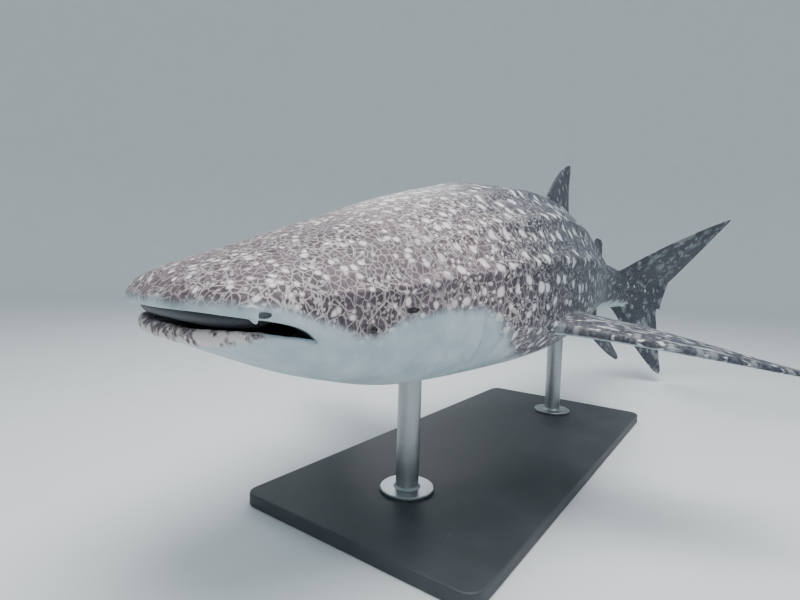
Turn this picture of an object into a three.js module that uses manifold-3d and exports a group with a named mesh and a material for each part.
// Whale shark, about 6 m long, as a still life-size model held over a flat base by two rods.
// Millimetres, +Z up. The snout points along -X and the animal's left side is -Y.
// The origin is the middle of the underside of the base.
import * as THREE from 'three';
import { mergeVertices } from 'three/addons/utils/BufferGeometryUtils.js';
import Module from 'manifold-3d';

const wasm = await Module();
wasm.setup();

// Driving dimensions. Lengths along and across the body are fractions of LENGTH.
const LENGTH = 6000; // snout to tail tip, with the upper tail lobe laid back in line
const AXIS_HEIGHT = 960; // body axis above the floor
const AXIS_START = -2040; // snout's place along X
const AXIS_SIDE = 160; // snout's place along Y
const GAP = 0.3; // clearance between neighbouring pieces
const AROUND = 48; // points round one body section

// The way the body runs: its heading at the snout, then smooth turns to the left, in radians.
const SNOUT_HEADING = 0.14;
const TURNS = [
  { from: 0.02, to: 0.16, by: -0.052 },
  { from: 0.22, to: 0.55, by: -0.103 },
  { from: 0.66, to: 0.84, by: 0.4805 },
];

// Where the body is parted into its pieces, from the snout back.
const HEAD_END = 0.13;
const GILLS_END = 0.295;
const SHOULDER_END = 0.425;
const TRUNK_END = 0.6;
const STOCK_END = 0.775;
const BODY_END = 0.87;

const up = (x, y, z) => new THREE.Vector3(x, y, z);

// A smooth curve through a few points [place, value] that never overshoots them.
function through(points) {
  const slopes = points.map((point, i) => {
    if (i === 0 || i === points.length - 1) return 0;
    const before = (point[1] - points[i - 1][1]) / (point[0] - points[i - 1][0]);
    const after = (points[i + 1][1] - point[1]) / (points[i + 1][0] - point[0]);
    return before * after <= 0 ? 0 : (2 * before * after) / (before + after);
  });
  return (place) => {
    const last = points.length - 1;
    const at = THREE.MathUtils.clamp(place, points[0][0], points[last][0]);
    let i = 0;
    while (i < last - 1 && at > points[i + 1][0]) i += 1;
    const width = points[i + 1][0] - points[i][0];
    const t = (at - points[i][0]) / width;
    const rise = t * t * (3 - 2 * t);
    const early = t * (1 - t) * (1 - t) * width;
    const late = t * t * (t - 1) * width;
    return points[i][1] + (points[i + 1][1] - points[i][1]) * rise + slopes[i] * early + slopes[i + 1] * late;
  };
}

const smooth = (low, high, value) => THREE.MathUtils.smoothstep(value, low, high);

// The centreline, walked in short steps.
const STEPS = 440;
const REACH = 1.1;
const centreline = [up(0, 0, SNOUT_HEADING)];
for (let i = 1; i <= STEPS; i += 1) {
  const s = (REACH * i) / STEPS;
  const heading = TURNS.reduce((sum, turn) => sum + turn.by * smooth(turn.from, turn.to, s), SNOUT_HEADING);
  const last = centreline[i - 1];
  const middle = (heading + last.z) / 2;
  const step = REACH / STEPS;
  centreline.push(up(last.x + step * Math.cos(middle), last.y - step * Math.sin(middle), heading));
}

// From body terms (s back from the snout, y to the right, z up, all in lengths) to the model.
function place(point) {
  const walk = (Math.max(point.x, 0) / REACH) * STEPS;
  const i = Math.min(Math.floor(walk), STEPS - 1);
  const at = centreline[i].clone().lerp(centreline[i + 1], walk - i);
  const ahead = Math.min(point.x, 0);
  return up(
    (at.x + ahead * Math.cos(at.z) + point.y * Math.sin(at.z)) * LENGTH + AXIS_START,
    (at.y - ahead * Math.sin(at.z) + point.y * Math.cos(at.z)) * LENGTH + AXIS_SIDE,
    point.z * LENGTH + AXIS_HEIGHT,
  );
}

// Body outlines: half width from above, and back, flank and belly heights from the side.
const halfWidth = through([[0, 0.0685], [0.06, 0.0708], [0.11, 0.0808], [0.17, 0.0975], [0.25, 0.1035],
  [0.34, 0.0895], [0.45, 0.0635], [0.56, 0.043], [0.67, 0.0285], [0.77, 0.0175], [0.83, 0.008],
  [BODY_END, 0.003]]);
const back = through([[0, 0.0125], [0.012, 0.021], [0.05, 0.0352], [0.11, 0.0565], [0.2, 0.0855],
  [0.28, 0.0998], [0.38, 0.101], [0.5, 0.0895], [0.6, 0.0695], [0.68, 0.0515], [0.77, 0.031],
  [BODY_END, 0.008]]);
const flank = through([[0, 0.0088], [0.03, 0.0045], [0.055, 0.0018], [0.09, 0.001], [0.16, 0.007],
  [0.25, 0.011], [0.5, 0.011], [0.62, 0.009], [0.7, 0.003], [0.78, -0.0045], [BODY_END, -0.006]]);
const belly = through([[0, 0.002], [0.006, -0.003], [0.013, -0.011], [0.03, -0.0198], [0.08, -0.0385],
  [0.14, -0.051], [0.22, -0.0515], [0.31, -0.049], [0.42, -0.046], [0.52, -0.0395], [0.62, -0.031],
  [0.78, -0.0275], [BODY_END, -0.014]]);
const shoulder = through([[0, 2], [0.28, 2.1], [0.5, 1.75], [0.7, 1.7]]); // squareness above the flank
const bilge = through([[0, 3.2], [0.06, 3.1], [0.13, 2.5], [0.3, 2.35], [0.7, 2]]); // squareness below it
const SNOUT_DEPTH = 0.04; // the snout is a half ellipse from above, this deep
const RIM_DEPTH = 0.006; // and rounded over this much from the side

// Ridges on each side, by their angle from the back, with the lowest ending in the tail keel.
const RIDGES = [
  { angle: 30, height: through([[0.12, 0], [0.26, 0.0032], [0.5, 0.003], [0.64, 0]]) },
  { angle: 52.5, height: through([[0.1, 0], [0.26, 0.0034], [0.55, 0.0034], [0.7, 0]]) },
  { angle: 75, height: through([[0.05, 0], [0.08, 0.0026], [0.2, 0.0034], [0.6, 0.0044], [0.74, 0.009],
    [0.8, 0.006], [0.84, 0]]) },
];
const MEDIAN_RIDGE = through([[0.16, 0], [0.28, 0.0025], [0.5, 0.003], [0.76, 0.002], [0.8, 0]]);
const RIDGE_WIDTH = 6; // degrees either side of the crest

// Gill slits: a flap lifts in front of each one and overhangs the pocket behind it.
const SLITS = [0.152, 0.167, 0.182, 0.197, 0.212];
const FLAP_LIFT = 0.0016;
const POCKET_DEPTH = 0.0032;
const OVERHANG = 0.003;
const LIP_STEP = 0.0006;
const SLIT_TOP = 62;
const SLIT_FOOT = 124;
const SLIT_BOW = 0.004;

// How fully a slit shows at an angle from the back: the rear ones end above the pectoral fin.
function slitShare(index, angle) {
  const foot = SLIT_FOOT - 5 * index;
  return smooth(SLIT_TOP - 8, SLIT_TOP + 8, angle) * (1 - smooth(foot - 8, foot + 8, angle));
}

// One point of the skin. The angle runs in degrees from the back over the left side.
function skin(s, angle, lift = 0) {
  const turn = THREE.MathUtils.degToRad(angle);
  const side = Math.sin(turn);
  const rise = Math.cos(turn);
  const round = Math.sqrt(1 - (1 - Math.min(s / SNOUT_DEPTH, 1)) ** 2);
  const rim = Math.sqrt(1 - (1 - Math.min(s / RIM_DEPTH, 1)) ** 2);
  const power = 2 / (rise >= 0 ? shoulder(s) : bilge(s));
  const reach = (rise >= 0 ? back(s) : belly(s)) - flank(s);
  const y = -halfWidth(s) * round * Math.sign(side) * Math.abs(side) ** power;
  const z = reach * rim * Math.abs(rise) ** power;
  const fromBack = angle <= 180 ? angle : 360 - angle;
  const crest = (centre) => Math.max(0, 1 - Math.abs(fromBack - centre) / RIDGE_WIDTH);
  const ridges = RIDGES.reduce((sum, ridge) => sum + ridge.height(s) * crest(ridge.angle), 0);
  const proud = lift + ridges + MEDIAN_RIDGE(s) * crest(0);
  const scale = 1 + proud / Math.max(Math.hypot(y, z), 1e-6);
  return up(s, y * scale, flank(s) + z * scale);
}

// The stations of the body, each with its lift as a function of the angle.
function bodyStations() {
  const stations = [];
  const plain = (s) => stations.push({ s: () => s, lift: () => 0 });
  for (const degrees of [9, 18, 28, 39, 51, 64, 77, 90]) {
    plain(SNOUT_DEPTH * (1 - Math.cos(THREE.MathUtils.degToRad(degrees))));
  }
  for (let s = 0.055; s < 0.14; s += 0.0125) plain(s);
  const bow = (index, angle) => SLIT_BOW * (1 - slitShare(index, angle) ** 2);
  SLITS.forEach((slit, index) => {
    const at = (shift, under, lift) => stations.push({
      s: (angle) => slit + bow(index, angle) + shift - under * slitShare(index, angle),
      lift: (angle) => lift * slitShare(index, angle),
    });
    at(-0.0058, 0, FLAP_LIFT * 0.4);
    at(0, 0, FLAP_LIFT);
    at(LIP_STEP, OVERHANG, -POCKET_DEPTH);
    at(LIP_STEP * 2, 0, -POCKET_DEPTH * 0.8);
    at(0.005, 0, 0);
  });
  for (let s = 0.235; s < 0.76; s += 0.0235) plain(s);
  for (let s = 0.77; s < BODY_END; s += 0.015) plain(s);
  return stations;
}

function geometryOf(vertices, faces) {
  const geometry = new THREE.BufferGeometry();
  const values = vertices.flatMap((vertex) => vertex.toArray());
  geometry.setAttribute('position', new THREE.Float32BufferAttribute(values, 3));
  geometry.setIndex(faces);
  return geometry;
}

// A closed solid from rings of points, with a pole at each end.
function lofted(rings, first, last) {
  const count = rings[0].length;
  const vertices = [first, ...rings.flat(), last];
  const faces = [];
  const end = vertices.length - 1;
  const node = (i, j) => 1 + i * count + (j % count);
  for (let j = 0; j < count; j += 1) {
    faces.push(0, node(0, j + 1), node(0, j));
    faces.push(end, node(rings.length - 1, j), node(rings.length - 1, j + 1));
    for (let i = 0; i + 1 < rings.length; i += 1) {
      faces.push(node(i, j), node(i, j + 1), node(i + 1, j + 1));
      faces.push(node(i, j), node(i + 1, j + 1), node(i + 1, j));
    }
  }
  return geometryOf(vertices, faces);
}

function bodyGeometry(grow) {
  const extra = grow / LENGTH;
  const rings = bodyStations().map((station) => {
    const ring = [];
    for (let k = 0; k < AROUND; k += 1) {
      const angle = (360 * k) / AROUND;
      const fold = angle <= 180 ? angle : 360 - angle;
      ring.push(place(skin(station.s(fold), angle, station.lift(fold) + extra)));
    }
    return ring;
  });
  const rear = up(BODY_END + 0.003 + extra, 0, flank(BODY_END));
  return lofted(rings, place(up(-extra, 0, flank(0))), place(rear));
}

// A fin blade between a leading and a trailing edge, run from inside the body to the tip.
// Its thickness swells behind the leading edge, and fine rays stand up along it.
const CHORD = [0.04, 0.13, 0.26, 0.41, 0.56, 0.71, 0.86, 1];
const RAY_HEIGHT = 1.6;
const EDGE_HALF = 1.6;
const FULLEST = 0.385; // the swell's greatest value, so that it is 1 where the blade is thickest
const LAST_ROW = 0.35; // how far the last row stops short of the tip, in rows

function blade({ lead, trail, tip, normal, thickness, rows, map }) {
  const vertices = [];
  const faces = [];
  const count = CHORD.length;
  const ringSize = 2 * count + 1;
  for (let i = 0; i <= rows; i += 1) {
    const t = i / (rows + LAST_ROW);
    const front = lead(t);
    const rear = trail(t);
    vertices.push(map(front));
    for (const side of [1, -1]) {
      CHORD.forEach((c, j) => {
        const swell = (Math.sqrt(c) * (1 - c)) / FULLEST;
        const ray = j % 2 === 1 && c < 1 ? RAY_HEIGHT * smooth(0.1, 0.3, t) : 0;
        const half = (EDGE_HALF + ray + (thickness(t) / 2) * swell) / LENGTH;
        vertices.push(map(front.clone().lerp(rear, c).addScaledVector(normal, side * half)));
      });
    }
  }
  const point = vertices.push(map(tip)) - 1;
  const middle = vertices.push(map(lead(0).clone().lerp(trail(0), 0.5))) - 1;
  const node = (i, side, j) => i * ringSize + (j === 0 ? 0 : j + side * count);
  const triangle = (a, b, c, flip) => faces.push(...(flip ? [a, c, b] : [a, b, c]));
  for (const side of [0, 1]) {
    const flip = side === 1;
    for (let j = 0; j < count; j += 1) {
      for (let i = 0; i < rows; i += 1) {
        triangle(node(i, side, j), node(i, side, j + 1), node(i + 1, side, j + 1), flip);
        triangle(node(i, side, j), node(i + 1, side, j + 1), node(i + 1, side, j), flip);
      }
      triangle(node(rows, side, j), node(rows, side, j + 1), point, flip);
      triangle(node(0, side, j + 1), node(0, side, j), middle, flip);
    }
  }
  for (let i = 0; i < rows; i += 1) {
    triangle(node(i, 0, count), node(i, 1, count), node(i + 1, 1, count), false);
    triangle(node(i, 0, count), node(i + 1, 1, count), node(i + 1, 0, count), false);
  }
  triangle(node(rows, 0, count), node(rows, 1, count), point, false);
  triangle(node(0, 1, count), node(0, 0, count), middle, false);
  return geometryOf(vertices, faces);
}

// Solids and their joins and cuts.
function solid(geometry) {
  const bare = geometry.clone();
  bare.deleteAttribute('normal');
  bare.deleteAttribute('uv');
  const merged = mergeVertices(bare, 1e-3);
  const made = new wasm.Manifold(new wasm.Mesh({
    numProp: 3,
    vertProperties: new Float32Array(merged.attributes.position.array),
    triVerts: new Uint32Array(merged.index.array),
  }));
  return made;
}

// The outward side is settled here, so that either side of the body can share its code.
function outward(geometry) {
  const made = solid(geometry);
  if (made.volume() > 0) return made;
  const index = geometry.index.array;
  for (let i = 0; i < index.length; i += 3) [index[i], index[i + 1]] = [index[i + 1], index[i]];
  return solid(geometry);
}

const finSolid = (description) => outward(blade(description));

const largest = (made) => made.decompose().sort((a, b) => b.volume() - a.volume())[0];

// Everything ahead of, or behind, the cross plane at a station.
const BLOCK = 12000;
function beyond(s, ahead, shift) {
  const box = new THREE.BoxGeometry(BLOCK, BLOCK, BLOCK);
  const at = place(up(s, 0, 0));
  const heading = centreline[Math.round((s / REACH) * STEPS)].z;
  box.translate((ahead ? -1 : 1) * (BLOCK / 2 + shift), 0, 0);
  box.rotateZ(-heading);
  box.translate(at.x, at.y, at.z);
  return solid(box);
}

// A slab across the whole body, from a side outline in body terms.
const PRISM_HALF = 0.15;
function across(outline) {
  const shape = new THREE.Shape(outline.map(([s, z]) => new THREE.Vector2(s, z)));
  const slab = new THREE.ExtrudeGeometry(shape, { depth: 2 * PRISM_HALF, bevelEnabled: false });
  slab.translate(0, 0, -PRISM_HALF);
  const position = slab.attributes.position;
  for (let i = 0; i < position.count; i += 1) {
    const moved = place(up(position.getX(i), -position.getZ(i), position.getY(i)));
    position.setXYZ(i, moved.x, moved.y, moved.z);
  }
  return solid(slab);
}

// A rounded hollow or ball, in body terms, by its middle and its three half sizes in millimetres.
function ball(middle, along, sideways, upright, detail = 16) {
  const sphere = new THREE.SphereGeometry(1, detail, Math.round(detail * 0.6));
  sphere.rotateX(Math.PI / 2);
  sphere.scale(along, sideways, upright);
  sphere.rotateZ(-SNOUT_HEADING);
  const at = place(middle);
  sphere.translate(at.x, at.y, at.z);
  return solid(sphere);
}

// Mouth: the lip lines from the side, from in front of the snout to the corner.
const MOUTH_CORNER = 0.0545;
const upperLip = through([[-0.02, 0.0046], [0.004, 0.0045], [0.02, 0.0026], [0.04, -0.001], [0.05, -0.0052],
  [MOUTH_CORNER, -0.009]]);
const lowerLip = through([[-0.02, -0.0097], [0.009, -0.0096], [0.0135, -0.0082], [0.019, -0.0078],
  [0.026, -0.008], [0.04, -0.0099], [MOUTH_CORNER, -0.0108]]);
const LIP_POINTS = [-0.02, 0.004, 0.012, 0.02, 0.03, 0.04, 0.05, MOUTH_CORNER];
const THROAT = { front: 0.0115, rear: 0.088, middle: -0.0015, half: 0.0115, lip: 0.0072, depth: 0.03 };
const THROAT_RINGS = [0.02, 0.07, 0.15, 0.26, 0.4, 0.55, 0.7, 0.83, 0.93, 0.985];
const THROAT_SIDES = 22;
const LOWER_LIP = { proud: 2, halfWide: 18, halfTall: 24, sides: 10 };
const LIP_TURNS = [0, 10, 21, 33, 46, 60, 75, 90]; // degrees round the snout
const LIP_POLE = 0.002; // how far past its last ring the roll closes
const BELOW = -0.1;

// The hollow of the mouth follows the snout's own curve, one lip's thickness in.
function throatGeometry() {
  const rings = [];
  for (const share of THROAT_RINGS) {
    const s = THROAT.front + (THROAT.rear - THROAT.front) * share;
    const blunt = Math.sqrt(1 - (1 - Math.min((s - THROAT.front) / THROAT.depth, 1)) ** 2);
    const closing = Math.sqrt(1 - Math.max(0, 2 * share - 1) ** 2);
    const ring = [];
    for (let k = 0; k < THROAT_SIDES; k += 1) {
      const turn = (2 * Math.PI * k) / THROAT_SIDES;
      const y = -(halfWidth(s) - THROAT.lip) * blunt * closing * Math.sin(turn);
      const z = THROAT.middle + THROAT.half * Math.sqrt(blunt) * closing * Math.cos(turn);
      ring.push(place(up(s, y, z)));
    }
    rings.push(ring);
  }
  return lofted(rings, place(up(THROAT.front, 0, THROAT.middle)), place(up(THROAT.rear, 0, THROAT.middle)));
}

// Half the body's width at a station and height, or 0 where the height is clear of it.
function widthAt(s, z) {
  const upper = z >= flank(s);
  const round = Math.sqrt(1 - (1 - Math.min(s / SNOUT_DEPTH, 1)) ** 2);
  const rim = Math.sqrt(1 - (1 - Math.min(s / RIM_DEPTH, 1)) ** 2);
  const reach = Math.abs((upper ? back(s) : belly(s)) - flank(s)) * rim;
  const power = upper ? shoulder(s) : bilge(s);
  return halfWidth(s) * round * Math.max(0, 1 - (Math.abs(z - flank(s)) / reach) ** power) ** (1 / power);
}

// The lower lip: a roll of flesh that follows the snout's curve from one corner of the mouth to the other.
function lipSolid(line, { proud, halfWide, halfTall, sides }) {
  let start = 0.0002;
  while (widthAt(start, line(start)) === 0) start += 0.0002;
  const course = [...LIP_TURNS.map((degrees) => THREE.MathUtils.degToRad(degrees))
    .map((turn) => start + (SNOUT_DEPTH - start) * (1 - Math.cos(turn))), 0.047, MOUTH_CORNER]
    .map((s) => up(s, widthAt(s, line(s)), line(s)));
  course[0].y = 0;
  const path = [...course.slice(1).reverse().map((point) => up(point.x, -point.y, point.z)), ...course];
  const rings = path.map((point, i) => {
    const before = path[Math.max(i - 1, 0)];
    const after = path[Math.min(i + 1, path.length - 1)];
    const outwards = up(before.y - after.y, after.x - before.x, 0).normalize();
    return Array.from({ length: sides }, (_, k) => {
      const around = (2 * Math.PI * k) / sides;
      const out = (proud + halfWide * (Math.cos(around) - 1)) / LENGTH;
      const ringPoint = point.clone().addScaledVector(outwards, out);
      return place(ringPoint.setZ(ringPoint.z + (halfTall / LENGTH) * Math.sin(around)));
    });
  });
  const end = (point) => {
    const inside = Math.abs(point.y) - halfWide / LENGTH;
    return place(up(point.x + LIP_POLE, Math.sign(point.y) * inside, point.z));
  };
  return outward(lofted(rings, end(path[0]), end(path[path.length - 1])));
}

// The nasal flap: a flat lobe along the snout's curve that narrows and sweeps back to its tip.
function flapSolid(top, side) {
  const { root, tip, length, flatness, sweep, turned } = NASAL_FLAP;
  const lobe = new THREE.CylinderGeometry(root, tip, length, 14);
  lobe.rotateX(Math.PI / 2);
  lobe.translate(0, 0, -length / 2);
  const position = lobe.attributes.position;
  for (let i = 0; i < position.count; i += 1) {
    const z = position.getZ(i);
    position.setXYZ(i, position.getX(i) - z * sweep, position.getY(i) * flatness, z);
  }
  lobe.rotateZ(side * turned - SNOUT_HEADING);
  const at = place(top);
  lobe.translate(at.x, at.y, at.z);
  return solid(lobe);
}

function jawSpace(lip, shift) {
  const rear = MOUTH_CORNER + shift / LENGTH;
  const line = LIP_POINTS.map((s) => [Math.min(s, rear), lip(s)]);
  return across([[-0.02, BELOW], [rear, BELOW], ...line.reverse()]);
}

// Where a skin detail sits: the place on the skin at a station and angle, moved in by a depth.
function under(s, angle, depth) {
  const surface = skin(s, angle);
  const inward = up(0, -surface.y, flank(s) - surface.z).normalize();
  return surface.addScaledVector(inward, depth / LENGTH);
}

const EYE = { s: 0.083, angle: 94, radius: 24, depth: 19 };
const SPIRACLE = { s: 0.106, angle: 88, depth: 2, along: 24, sideways: 13, upright: 10 };
const NOSTRIL = { s: 0.0292, y: 0.0655, z: 0.0038 };
const PIT = { along: 24, sideways: 15, upright: 9 };
const NASAL_FLAP = { root: 22, tip: 5, length: 44, flatness: 0.4, sweep: 0.45, turned: 0.66 };
const FLAP_TOP = { s: 0.0231, y: 0.0622, z: 0.0078 };

const skinSolid = solid(bodyGeometry(0));
const skinCutter = solid(bodyGeometry(GAP));

// Tail fin, in lengths back from its origin (u) and up from the axis (v). Both lobes lean left.
const TAIL = { origin: 0.77, axis: -0.0015, sag: -0.2, upperLean: 0.6066, lowerLean: 0.2515, stem: 0.02 };
const LOBES_PART = -0.019; // the height of the parting between the two lobes

function tailPoint(point) {
  const { x: u, y, z: v } = point;
  const off = Math.max(Math.abs(v) - TAIL.stem, 0);
  const lean = v > 0 ? TAIL.upperLean : TAIL.lowerLean;
  const sag = TAIL.sag * Math.max(u, 0) * Math.exp(-Math.max(u, 0) / 0.1);
  const rise = Math.sign(v) * (Math.abs(v) - off + off * Math.cos(lean));
  return place(up(TAIL.origin + u, y - off * Math.sin(lean), TAIL.axis + sag + rise));
}

// An edge in a plane through the body, as a cubic curve of [along, up or out] points.
function edge(points, spread) {
  const curve = new THREE.CubicBezierCurve(...points.map(([a, b]) => new THREE.Vector2(a, b)));
  return (t) => spread(curve.getPoint(t));
}

const upright = (point) => up(point.x, 0, point.y);
const tailUpper = finSolid({
  lead: edge([[-0.045, -0.014], [0, 0.056], [0.085, 0.118], [0.183, 0.1555]], upright),
  trail: edge([[0.12, -0.03], [0.156, 0.045], [0.166, 0.088], [0.187, 0.1515]], upright),
  tip: up(0.188, 0, 0.156),
  normal: up(0, 1, 0),
  thickness: through([[0, 84], [0.25, 60], [0.6, 30], [1, 10]]),
  rows: 13,
  map: tailPoint,
});
const tailLower = finSolid({
  lead: edge([[-0.05, 0.012], [-0.005, -0.04], [0.03, -0.09], [0.078, -0.136]], upright),
  trail: edge([[0.12, 0.02], [0.108, -0.035], [0.1, -0.08], [0.094, -0.137]], upright),
  tip: up(0.0885, 0, -0.1402),
  normal: up(0, 1, 0),
  thickness: through([[0, 70], [0.35, 44], [1, 11]]),
  rows: 11,
  map: tailPoint,
});

const whole = skinSolid.add(tailUpper).add(tailLower);

// Fins along the midline, by [s, z] points.
const midFins = {
  first_dorsal_fin: {
    lead: [[0.408, 0.066], [0.438, 0.11], [0.472, 0.149], [0.518, 0.1605]],
    trail: [[0.522, 0.045], [0.546, 0.088], [0.516, 0.102], [0.5265, 0.156]],
    tip: [0.5245, 0.162],
    thickness: through([[0, 74], [0.5, 46], [1, 12]]),
    rows: 11,
  },
  second_dorsal_fin: {
    lead: [[0.634, 0.032], [0.646, 0.06], [0.656, 0.078], [0.682, 0.0805]],
    trail: [[0.704, 0.02], [0.722, 0.042], [0.707, 0.056], [0.7105, 0.0735]],
    tip: [0.705, 0.079],
    thickness: through([[0, 40], [0.5, 26], [1, 9]]),
    rows: 8,
  },
  anal_fin: {
    lead: [[0.652, -0.016], [0.665, -0.038], [0.68, -0.052], [0.7, -0.055]],
    trail: [[0.692, -0.012], [0.706, -0.028], [0.694, -0.04], [0.705, -0.052]],
    tip: [0.7045, -0.0555],
    thickness: through([[0, 36], [0.5, 24], [1, 9]]),
    rows: 8,
  },
};

// Paired fins, by [back, out] points from a root on the flank, then dipping as they go out.
const PECTORAL = {
  root: { s: 0.221, y: 0.094, z: -0.0125 },
  lead: [[0, -0.03], [0.022, 0.045], [0.062, 0.108], [0.12, 0.15]],
  trail: [[0.064, -0.03], [0.104, 0.038], [0.087, 0.096], [0.129, 0.1465]],
  tip: [0.1265, 0.151],
  dip: 0.1, // radians below level
  droop: 0.6, // and more towards the tip
  pitch: 0.1, // trailing edge up for each length of chord, fading towards the tip
  thickness: through([[0, 92], [0.4, 58], [0.8, 26], [1, 13]]),
  rows: 13,
};
const PELVIC = {
  root: { s: 0.51, y: 0.026, z: -0.026 },
  lead: [[-0.02, -0.014], [-0.012, 0.026], [0.014, 0.058], [0.047, 0.068]],
  trail: [[0.048, -0.014], [0.076, 0.022], [0.062, 0.04], [0.063, 0.0615]],
  tip: [0.0575, 0.0675],
  dip: 1.02,
  droop: 0,
  pitch: 0,
  thickness: through([[0, 42], [0.5, 28], [1, 9]]),
  rows: 8,
};

function pairedFin(fin, side) {
  const spread = (point) => up(
    point.x,
    side * point.y * Math.cos(fin.dip),
    -point.y * Math.sin(fin.dip) - Math.max(point.y, 0) ** 2 * fin.droop,
  );
  const root = place(up(fin.root.s, side * fin.root.y, fin.root.z));
  const heading = centreline[Math.round((fin.root.s / REACH) * STEPS)].z;
  const lead = edge(fin.lead, spread);
  const trailing = edge(fin.trail, spread);
  const trail = (t) => {
    const point = trailing(t);
    point.z += fin.pitch * (1 - t) * (point.x - lead(t).x);
    return point;
  };
  return finSolid({
    lead,
    trail,
    tip: spread(new THREE.Vector2(...fin.tip)),
    normal: up(0, side * Math.sin(fin.dip), Math.cos(fin.dip)),
    thickness: fin.thickness,
    rows: fin.rows,
    map: (point) => point.clone().multiplyScalar(LENGTH).applyAxisAngle(up(0, 0, 1), -heading).add(root),
  });
}

// Display stand.
const BASE = { length: 2700, width: 1200, height: 60, corner: 60, bevel: 8 };
const ROD_STATIONS = { front: 0.2, rear: 0.5 };
const ROD = { radius: 55, foot: 130, footHeight: 16, fillet: 10, top: 900, sides: 28 };

function baseGeometry() {
  const { length, width, height, corner, bevel } = BASE;
  const outline = new THREE.Shape();
  const x = length / 2 - bevel;
  const y = width / 2 - bevel;
  outline.moveTo(-x + corner, -y);
  outline.lineTo(x - corner, -y);
  outline.absarc(x - corner, -y + corner, corner, -Math.PI / 2, 0);
  outline.absarc(x - corner, y - corner, corner, 0, Math.PI / 2);
  outline.absarc(-x + corner, y - corner, corner, Math.PI / 2, Math.PI);
  outline.absarc(-x + corner, -y + corner, corner, Math.PI, Math.PI * 1.5);
  const plate = new THREE.ExtrudeGeometry(outline, {
    depth: height - 2 * bevel,
    bevelThickness: bevel,
    bevelSize: bevel,
    bevelSegments: 2,
    curveSegments: 6,
  });
  return plate.translate(0, 0, bevel);
}

function rodSolid(station) {
  const { radius, foot, footHeight, fillet, top, sides } = ROD;
  const low = BASE.height + GAP;
  const profile = [[0, low], [foot - 4, low], [foot, low + 4], [foot, low + footHeight - 4],
    [foot - 4, low + footHeight], [radius + fillet, low + footHeight], [radius, low + footHeight + fillet],
    [radius, top], [0, top]];
  const rod = new THREE.LatheGeometry(profile.map(([r, z]) => new THREE.Vector2(r, z)), sides);
  rod.rotateX(Math.PI / 2);
  const at = place(up(station, 0, 0));
  rod.translate(at.x, at.y, 0);
  return largest(solid(rod).subtract(skinCutter));
}

// Materials, in the animal's own colours.
function paint(color, roughness, metalness = 0) {
  return new THREE.MeshStandardMaterial({ color, roughness, metalness });
}
const backSkin = () => paint(0x6b646c, 0.55);
const paleSkin = () => paint(0xaab4b8, 0.55);
const eyeBall = () => paint(0x101214, 0.15);
const standPaint = () => paint(0x2b2e31, 0.5);
const standSteel = () => paint(0x8d9296, 0.35, 1);

const shark = new THREE.Group();
function piece(name, made, material) {
  const mesh = made.getMesh();
  const geometry = new THREE.BufferGeometry();
  geometry.setAttribute('position', new THREE.BufferAttribute(new Float32Array(mesh.vertProperties), 3));
  geometry.setIndex(new THREE.BufferAttribute(new Uint32Array(mesh.triVerts), 1));
  geometry.computeVertexNormals();
  const shown = new THREE.Mesh(geometry, material);
  shown.name = name;
  shark.add(shown);
}

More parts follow.
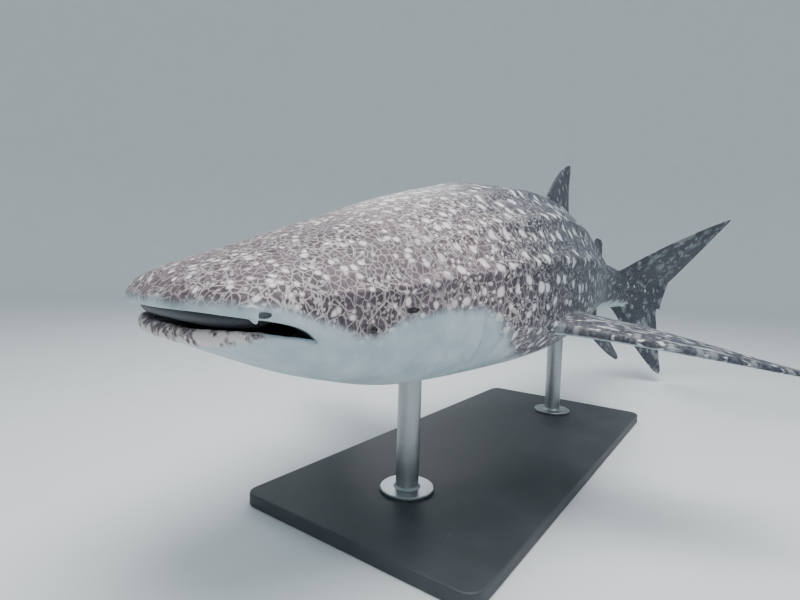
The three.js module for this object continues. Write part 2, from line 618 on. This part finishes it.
// The head, its mouth and its sense organs, and the lower jaw parted from it.
const half = GAP / 2;
const throat = solid(throatGeometry());
let head = whole.intersect(beyond(HEAD_END, true, half));
const jaw = head.intersect(jawSpace(lowerLip, -half))
  .add(lipSolid(lowerLip, LOWER_LIP).intersect(jawSpace(upperLip, -half)))
  .subtract(throat);
head = head.subtract(jawSpace(upperLip, half)).subtract(throat);
for (const side of [-1, 1]) {
  const name = side < 0 ? 'eye_left' : 'eye_right';
  const mirror = (angle) => (side < 0 ? angle : 360 - angle);
  const eye = under(EYE.s, mirror(EYE.angle), EYE.depth);
  head = head.subtract(ball(eye, EYE.radius + GAP, EYE.radius + GAP, EYE.radius + GAP, 14));
  piece(name, ball(eye, EYE.radius, EYE.radius, EYE.radius, 14), eyeBall());
  const spiracle = under(SPIRACLE.s, mirror(SPIRACLE.angle), SPIRACLE.depth);
  head = head.subtract(ball(spiracle, SPIRACLE.along, SPIRACLE.sideways, SPIRACLE.upright, 12));
  const nostril = up(NOSTRIL.s, side * NOSTRIL.y, NOSTRIL.z);
  head = head.subtract(ball(nostril, PIT.along, PIT.sideways, PIT.upright, 12));
  head = head.add(flapSolid(up(FLAP_TOP.s, side * FLAP_TOP.y, FLAP_TOP.z), side));
}
piece('head', largest(head), backSkin());
piece('lower_jaw', largest(jaw), paleSkin());

// The rest of the body, parted across.
const lengths = [
  ['gill_region', HEAD_END, GILLS_END],
  ['shoulder_region', GILLS_END, SHOULDER_END],
  ['trunk', SHOULDER_END, TRUNK_END],
  ['tail_stock', TRUNK_END, STOCK_END],
];
for (const [name, from, to] of lengths) {
  const ring = whole.intersect(beyond(from, false, half)).intersect(beyond(to, true, half));
  piece(name, largest(ring), backSkin());
}
const tail = whole.intersect(beyond(STOCK_END, false, half));
const parting = place(up(TAIL.origin, 0, LOBES_PART)).z;
const block = new THREE.BoxGeometry(BLOCK, BLOCK, BLOCK);
const beside = (shift) => solid(block.clone().translate(0, 0, parting + shift));
piece('tail_fin_upper', largest(tail.intersect(beside(BLOCK / 2 + half))), backSkin());
piece('tail_fin_lower', largest(tail.intersect(beside(-BLOCK / 2 - half))), backSkin());

// The fins, each ending face to face with the body.
for (const [name, fin] of Object.entries(midFins)) {
  const made = finSolid({
    lead: edge(fin.lead, upright),
    trail: edge(fin.trail, upright),
    tip: up(fin.tip[0], 0, fin.tip[1]),
    normal: up(0, 1, 0),
    thickness: fin.thickness,
    rows: fin.rows,
    map: place,
  });
  piece(name, largest(made.subtract(skinCutter)), backSkin());
}
for (const side of [-1, 1]) {
  const word = side < 0 ? 'left' : 'right';
  piece(`pectoral_fin_${word}`, largest(pairedFin(PECTORAL, side).subtract(skinCutter)), backSkin());
  piece(`pelvic_fin_${word}`, largest(pairedFin(PELVIC, side).subtract(skinCutter)), backSkin());
}

// The stand.
piece('stand_base', solid(baseGeometry()), standPaint());
piece('stand_rod_front', rodSolid(ROD_STATIONS.front), standSteel());
piece('stand_rod_rear', rodSolid(ROD_STATIONS.rear), standSteel());

export default shark;
